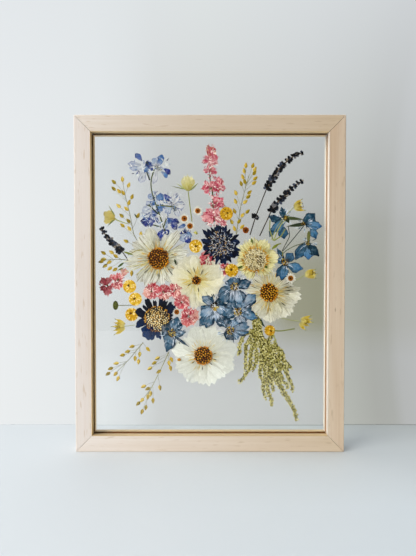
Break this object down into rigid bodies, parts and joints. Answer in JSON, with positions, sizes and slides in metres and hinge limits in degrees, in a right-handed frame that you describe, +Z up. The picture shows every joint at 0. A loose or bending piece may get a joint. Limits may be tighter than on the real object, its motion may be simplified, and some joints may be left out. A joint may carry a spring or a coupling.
{
  "type": "pressed flower frame",
  "caption": "Pale wooden frame with mitred corners and two panes of clear glass, with a bouquet of dried cosmos, scabiosa, larkspur, lavender and grasses pressed flat between them",
  "frame": {"origin": "middle of the underside of the bottom rail, half way through the frame's depth", "axes": "+X to the viewer's right as the frame is looked at from the front, +Y out of the back, +Z up"},
  "size_m": [0.3078, 0.02, 0.384],
  "materials": {
    "wood": "satin",
    "pane": "polished",
    "white_petal": "matt",
    "ivory_petal": "matt",
    "cream_petal": "matt",
    "navy_petal": "matt",
    "lilac_petal": "matt",
    "pink_petal": "matt",
    "crimson_petal": "matt",
    "blue_petal": "matt",
    "yellow_petal": "matt",
    "lavender_bud": "matt",
    "grass_straw": "matt",
    "green_stem": "matt",
    "dark_leaf": "matt"
  },
  "bodies": {
    "root": {"frame_rail_top": "wood", "frame_rail_bottom": "wood", "frame_rail_left": "wood", "frame_rail_right": "wood", "glass_front": "pane", "glass_back": "pane", "white_cosmos_left": "white_petal", "white_cosmos_bottom": "white_petal", "tiny_daisy_1": "white_petal", "tiny_daisy_2": "white_petal", "tiny_daisy_3": "white_petal", "tiny_daisy_4": "white_petal", "tiny_daisy_5": "white_petal", "tiny_daisy_6": "white_petal", "ivory_cosmos_middle": "ivory_petal", "cream_cosmos_right": "ivory_petal", "cream_scabiosa": "cream_petal", "cream_bell_flower": "cream_petal", "navy_scabiosa_top": "navy_petal", "navy_scabiosa_left": "navy_petal", "delphinium_sprig": "lilac_petal", "larkspur_spike": "pink_petal", "pink_floret_1": "pink_petal", "pink_floret_2": "pink_petal", "pink_floret_3": "pink_petal", "pink_floret_4": "pink_petal", "pink_floret_5": "pink_petal", "pink_floret_7": "pink_petal", "pink_floret_8": "pink_petal", "pink_floret_9": "pink_petal", "pink_floret_6": "crimson_petal", "blue_floret_1": "blue_petal", "blue_floret_2": "blue_petal", "blue_floret_3": "blue_petal", "blue_floret_4": "blue_petal", "blue_floret_lower": "blue_petal", "blue_sprig_right": "blue_petal", "yellow_cup_flower": "yellow_petal", "star_cup_1": "yellow_petal", "star_cup_2": "yellow_petal", "star_cup_3": "yellow_petal", "star_cup_4": "yellow_petal", "yellow_button_1": "yellow_petal", "yellow_button_2": "yellow_petal", "yellow_button_3": "yellow_petal", "yellow_button_4": "yellow_petal", "yellow_button_5": "yellow_petal", "yellow_button_6": "yellow_petal", "yellow_button_7": "yellow_petal", "lavender_tall": "lavender_bud", "lavender_right": "lavender_bud", "lavender_left": "lavender_bud", "grass_upper_left": "grass_straw", "grass_far_left": "grass_straw", "grass_upper_middle": "grass_straw", "grass_lower_left": "grass_straw", "grass_lower_middle": "grass_straw", "flat_green_bud": "green_stem", "amaranth_tassel": "green_stem", "dark_leaf": "dark_leaf"}
  },
  "joints": []
}
